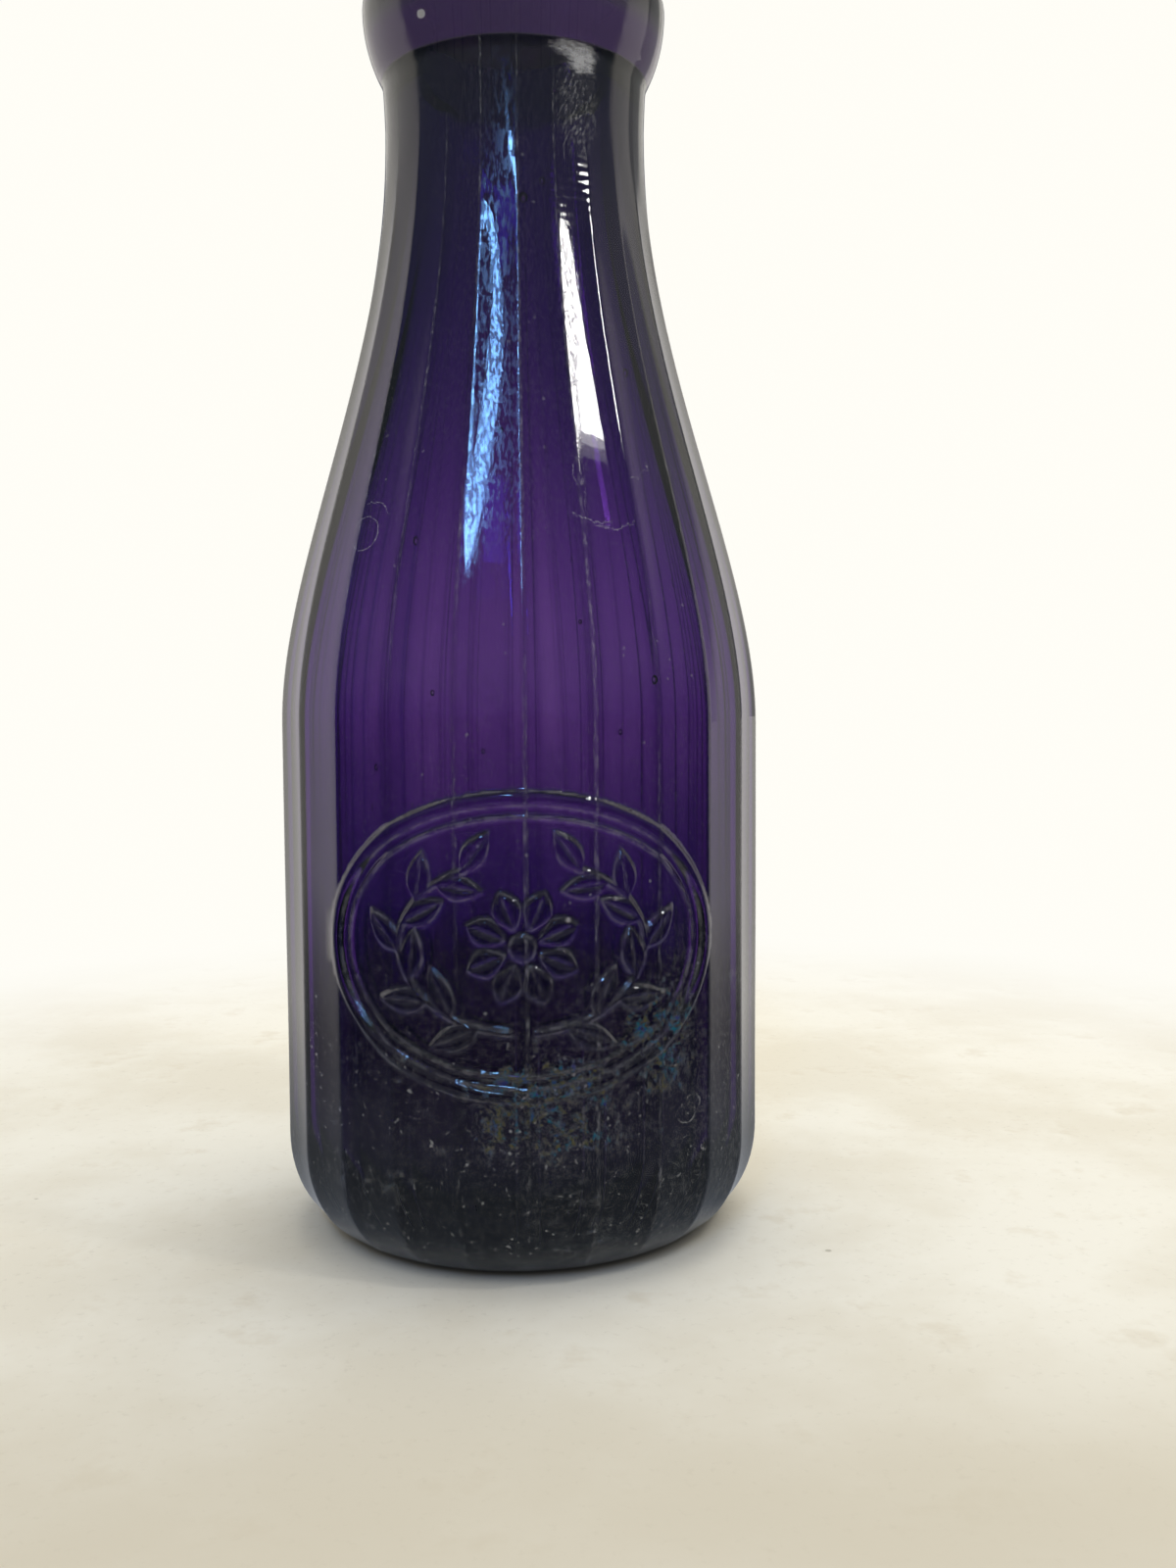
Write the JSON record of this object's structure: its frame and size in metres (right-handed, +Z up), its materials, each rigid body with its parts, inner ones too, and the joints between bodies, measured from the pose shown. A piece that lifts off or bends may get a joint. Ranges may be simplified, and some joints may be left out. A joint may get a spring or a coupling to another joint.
{
  "type": "milk bottle",
  "caption": "Tall glass milk bottle with a panelled body, long sloping shoulder, thick round lip and a waxed paper cap with a lifting tab.",
  "frame": {"origin": "centre of the base, on the surface that the bottle stands on", "axes": "+Z up along the bottle's axis, -Y towards the raised frame on the front"},
  "size_m": [0.0952, 0.0959, 0.2413],
  "materials": {
    "violet_glass": "deep violet clear glass, glossy, with a light stain low inside",
    "waxed_board": "waxed paperboard, satin",
    "tab_paper": "brown kraft paper, matt",
    "staple_wire": "drawn wire, slightly dull"
  },
  "bodies": {
    "bottle": {"bottle": "violet_glass"},
    "cap": {"cap_disc": "waxed_board", "tab_strip": "tab_paper", "cap_staple": "staple_wire"},
    "tab": {"pull_tab": "tab_paper"}
  },
  "joints": [
    {"name": "cap_lift", "type": "slide", "parent": "bottle", "child": "cap", "axis": [0, 0, 1], "range_m": [0, 0.04]},
    {"name": "tab_fold", "type": "hinge", "parent": "cap", "child": "tab", "pos_m": [0, 0.003, 0.2375], "axis": [-1, 0, 0], "range_deg": [0, 110]}
  ]
}
